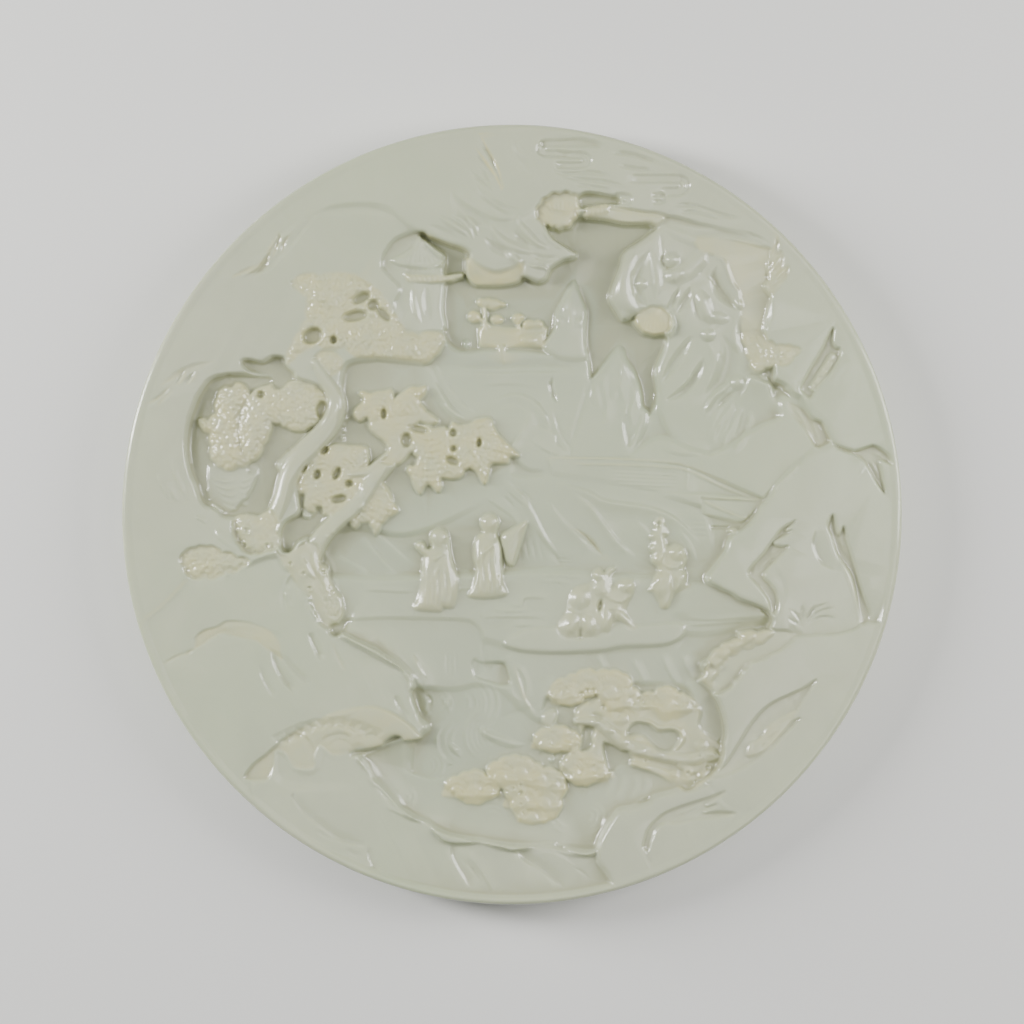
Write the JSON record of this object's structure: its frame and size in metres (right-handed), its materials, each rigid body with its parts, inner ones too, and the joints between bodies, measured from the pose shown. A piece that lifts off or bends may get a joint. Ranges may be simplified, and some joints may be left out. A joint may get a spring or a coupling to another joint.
{
  "type": "carved jade disc",
  "caption": "Round jade table screen panel, one face carved in deep relief with rocks, trees, a pagoda, water and small robed figures.",
  "frame": {"origin": "centre of the flat back, which the disc lies on", "axes": "+X to the right of the landscape, +Y to its top, +Z out of the carved face"},
  "size_m": [0.25, 0.25, 0.021],
  "materials": {
    "jade": null
  },
  "bodies": {
    "root": {"carved_jade_disc": "jade"}
  },
  "joints": []
}
